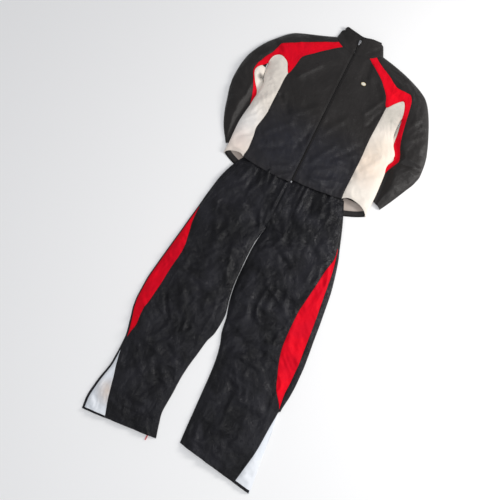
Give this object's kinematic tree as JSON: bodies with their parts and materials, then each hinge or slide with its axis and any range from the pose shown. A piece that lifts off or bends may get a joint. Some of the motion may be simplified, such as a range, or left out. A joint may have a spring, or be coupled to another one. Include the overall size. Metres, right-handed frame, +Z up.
{
  "type": "tracksuit jacket and trousers",
  "caption": "Zipped stand-collar jacket with raglan sleeves laid flat over the waist of its matching straight trousers, each tube of cloth hollow.",
  "frame": {"origin": "on the surface that the set lies on, under the centre of its bounding box", "axes": "+Z up from that surface, +Y up the zip towards the collar, +X to the viewer's right with the fronts facing up"},
  "size_m": [0.822, 1.7639, 0.029],
  "materials": {
    "black_nylon": "warm black woven nylon with a soft sheen",
    "black_crinkle_nylon": "bluish black crinkled woven nylon",
    "red_nylon": "bright red woven nylon",
    "ivory_nylon": "ivory woven nylon, slightly mottled",
    "white_nylon": "cool white woven nylon with a warm stain",
    "beige_lining": "grey beige lining cloth",
    "silver_metal": "silver zip metal"
  },
  "bodies": {
    "suit": {"jacket_front_left": "black_nylon", "jacket_front_right": "black_nylon", "side_panel_left": "ivory_nylon", "side_panel_right": "ivory_nylon", "sleeve_left": "black_nylon", "sleeve_right": "black_nylon", "raglan_red_left": "red_nylon", "raglan_red_right": "red_nylon", "underarm_left": "ivory_nylon", "underarm_right": "ivory_nylon", "jacket_back": "black_nylon", "sleeve_back_left": "black_nylon", "sleeve_back_right": "black_nylon", "hem_facing": "black_nylon", "hem_lining": "beige_lining", "collar_left": "black_nylon", "collar_right": "black_nylon", "collar_back": "black_nylon", "zip_chain": "black_nylon", "zip_slider": "silver_metal", "zip_stop": "silver_metal", "trouser_front_left": "black_crinkle_nylon", "trouser_front_right": "black_crinkle_nylon", "fly_flap": "black_crinkle_nylon", "crescent_left": "red_nylon", "crescent_right": "red_nylon", "gusset_left": "white_nylon", "gusset_right": "white_nylon", "gusset_hem_left": "black_crinkle_nylon", "gusset_hem_right": "black_crinkle_nylon", "side_strip_left": "black_crinkle_nylon", "side_strip_right": "black_crinkle_nylon", "trouser_back_left": "black_crinkle_nylon", "trouser_back_right": "black_crinkle_nylon", "waistband_front": "black_crinkle_nylon", "waistband_back": "black_crinkle_nylon", "chest_badge": "ivory_nylon", "ankle_pull": "red_nylon"},
    "zip_pull": {"zip_pull": "silver_metal"}
  },
  "joints": [
    {"name": "zip_pull_hinge", "type": "hinge", "parent": "suit", "child": "zip_pull", "pos_m": [-0.02, 0.8382, 0.02348], "axis": [-1, 0, 0], "range_deg": [0, 165]}
  ]
}
